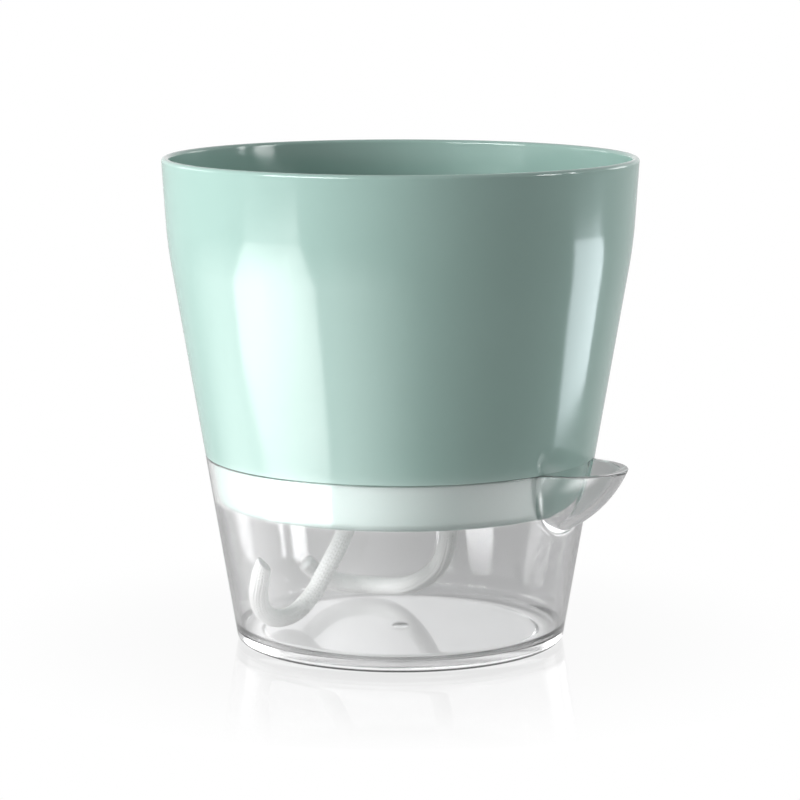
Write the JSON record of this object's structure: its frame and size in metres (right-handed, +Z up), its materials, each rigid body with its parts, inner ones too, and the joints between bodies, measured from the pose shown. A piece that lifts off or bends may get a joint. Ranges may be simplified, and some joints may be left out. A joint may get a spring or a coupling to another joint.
{
  "type": "self-watering pot",
  "caption": "Tapered round plant pot seated on a clear water reservoir with a pouring spout in its side; a cotton wick hangs through the pot's floor and draws water up to the soil.",
  "frame": {"origin": "middle of the object's length and width, on the surface that the reservoir stands on; the axis of the pot and the reservoir lies 1.75 mm behind it, at X = -1.75 mm", "axes": "+Z up, parallel to the axis of the pot and the reservoir, +X towards the tip of the spout"},
  "size_m": [0.1534, 0.1498, 0.154],
  "materials": {
    "clear_plastic": "clear, polished",
    "mint_plastic": "gloss",
    "cotton": "braided, undyed"
  },
  "bodies": {
    "reservoir": {"water_reservoir": "clear_plastic"},
    "pot": {"grow_pot": "mint_plastic", "wick_cord": "cotton"}
  },
  "joints": [
    {"name": "pot_lift", "type": "slide", "parent": "reservoir", "child": "pot", "axis": [0, 0, 1], "range_m": [0, 0.08]}
  ]
}
